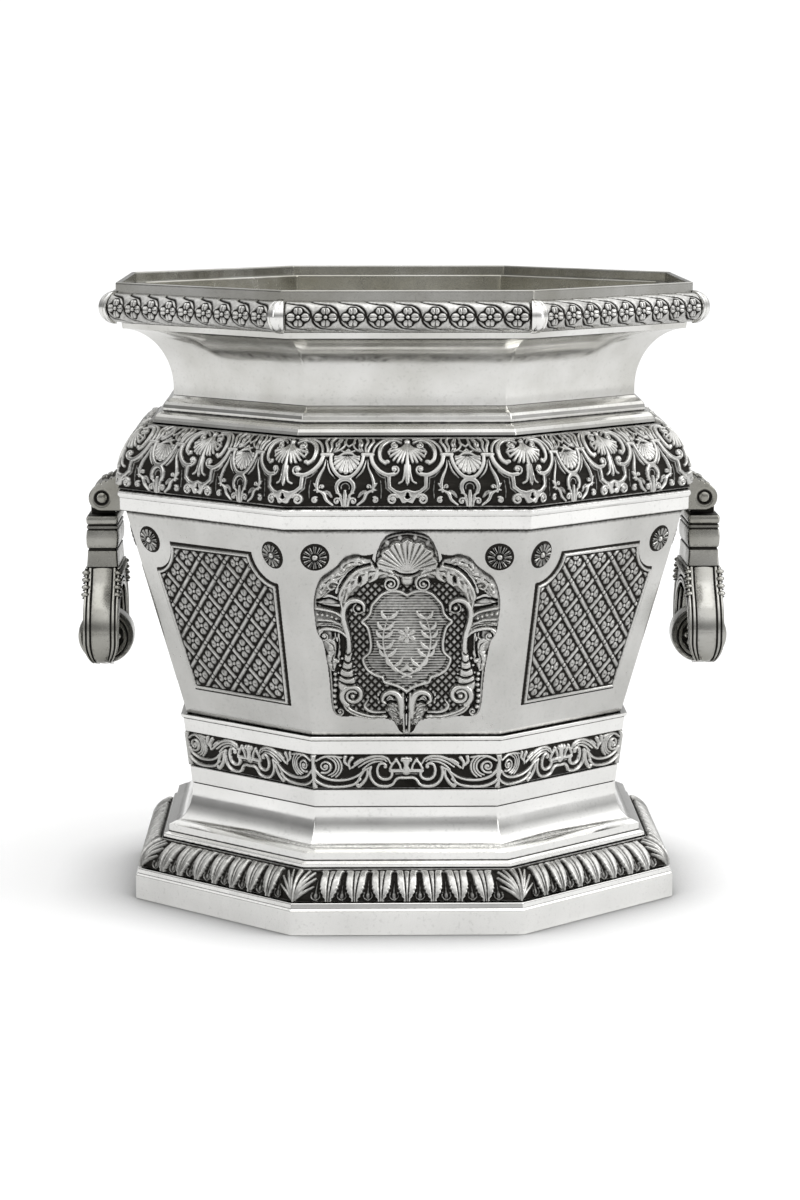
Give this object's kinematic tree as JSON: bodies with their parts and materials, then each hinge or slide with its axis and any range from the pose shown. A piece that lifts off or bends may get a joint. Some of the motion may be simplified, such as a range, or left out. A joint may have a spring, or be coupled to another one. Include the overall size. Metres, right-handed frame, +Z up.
{
  "type": "champagne bucket",
  "caption": "Eight-sided footed silver bottle cooler with a flared neck, cast ornamental borders, side cartouches, swinging drop handles and a lift-out liner.",
  "frame": {"origin": "centre of the underside, on the surface that the bucket stands on", "axes": "+Z up along the bucket's axis; +X towards one handle, the other handle is at -X; -Y is the front with a cartouche"},
  "size_m": [0.248, 0.223, 0.23],
  "materials": {
    "polished_silver": "polished silver plate with fine scratches and soft smudges",
    "cast_silver_oxidised": "cast silver ornament, bright on the high parts and black in the recesses",
    "handle_silver": "polished silver, a little greyer from handling",
    "liner_silver": "spun silver plate with a dull sheen"
  },
  "bodies": {
    "bucket": {"base_plinth": "polished_silver", "body_floor": "polished_silver", "body_shell": "polished_silver", "cartouche_back": "cast_silver_oxidised", "cartouche_front": "cast_silver_oxidised", "diaper_panel_back_left": "cast_silver_oxidised", "diaper_panel_back_right": "cast_silver_oxidised", "diaper_panel_front_left": "cast_silver_oxidised", "diaper_panel_front_right": "cast_silver_oxidised", "diaper_panel_left": "cast_silver_oxidised", "diaper_panel_right": "cast_silver_oxidised", "foot_leaf_border": "cast_silver_oxidised", "foot_shell": "polished_silver", "handle_bracket_left": "handle_silver", "handle_bracket_right": "handle_silver", "hinge_pin_left": "handle_silver", "hinge_pin_right": "handle_silver", "lower_body": "polished_silver", "neck_shell": "polished_silver", "rim_collar": "polished_silver", "rim_corner_strap_1": "polished_silver", "rim_corner_strap_2": "polished_silver", "rim_corner_strap_3": "polished_silver", "rim_corner_strap_4": "polished_silver", "rim_corner_strap_5": "polished_silver", "rim_corner_strap_6": "polished_silver", "rim_corner_strap_7": "polished_silver", "rim_corner_strap_8": "polished_silver", "rim_flower_strip_1": "cast_silver_oxidised", "rim_flower_strip_2": "cast_silver_oxidised", "rim_flower_strip_3": "cast_silver_oxidised", "rim_flower_strip_4": "cast_silver_oxidised", "rim_flower_strip_5": "cast_silver_oxidised", "rim_flower_strip_6": "cast_silver_oxidised", "rim_flower_strip_7": "cast_silver_oxidised", "rim_flower_strip_8": "cast_silver_oxidised", "rosette_back_a": "cast_silver_oxidised", "rosette_back_b": "cast_silver_oxidised", "rosette_back_left_a": "cast_silver_oxidised", "rosette_back_left_b": "cast_silver_oxidised", "rosette_back_right_a": "cast_silver_oxidised", "rosette_back_right_b": "cast_silver_oxidised", "rosette_front_a": "cast_silver_oxidised", "rosette_front_b": "cast_silver_oxidised", "rosette_front_left_a": "cast_silver_oxidised", "rosette_front_left_b": "cast_silver_oxidised", "rosette_front_right_a": "cast_silver_oxidised", "rosette_front_right_b": "cast_silver_oxidised", "rosette_left_a": "cast_silver_oxidised", "rosette_left_b": "cast_silver_oxidised", "rosette_right_a": "cast_silver_oxidised", "rosette_right_b": "cast_silver_oxidised", "scroll_frieze": "cast_silver_oxidised", "shoulder_band": "polished_silver", "strapwork_band": "cast_silver_oxidised"},
    "right_handle": {"handle_right": "handle_silver", "handle_grip_right": "handle_silver"},
    "left_handle": {"handle_left": "handle_silver", "handle_grip_left": "handle_silver"},
    "liner": {"liner": "liner_silver"}
  },
  "joints": [
    {"name": "right_handle_swing", "type": "hinge", "parent": "bucket", "child": "right_handle", "pos_m": [0.1134, 0, 0.148], "axis": [0, -1, 0], "range_deg": [-10, 150]},
    {"name": "left_handle_swing", "type": "hinge", "parent": "bucket", "child": "left_handle", "pos_m": [-0.1134, 0, 0.148], "axis": [0, 1, 0], "range_deg": [-10, 150]},
    {"name": "liner_lift", "type": "slide", "parent": "bucket", "child": "liner", "axis": [0, 0, 1], "range_m": [0, 0.2]}
  ]
}
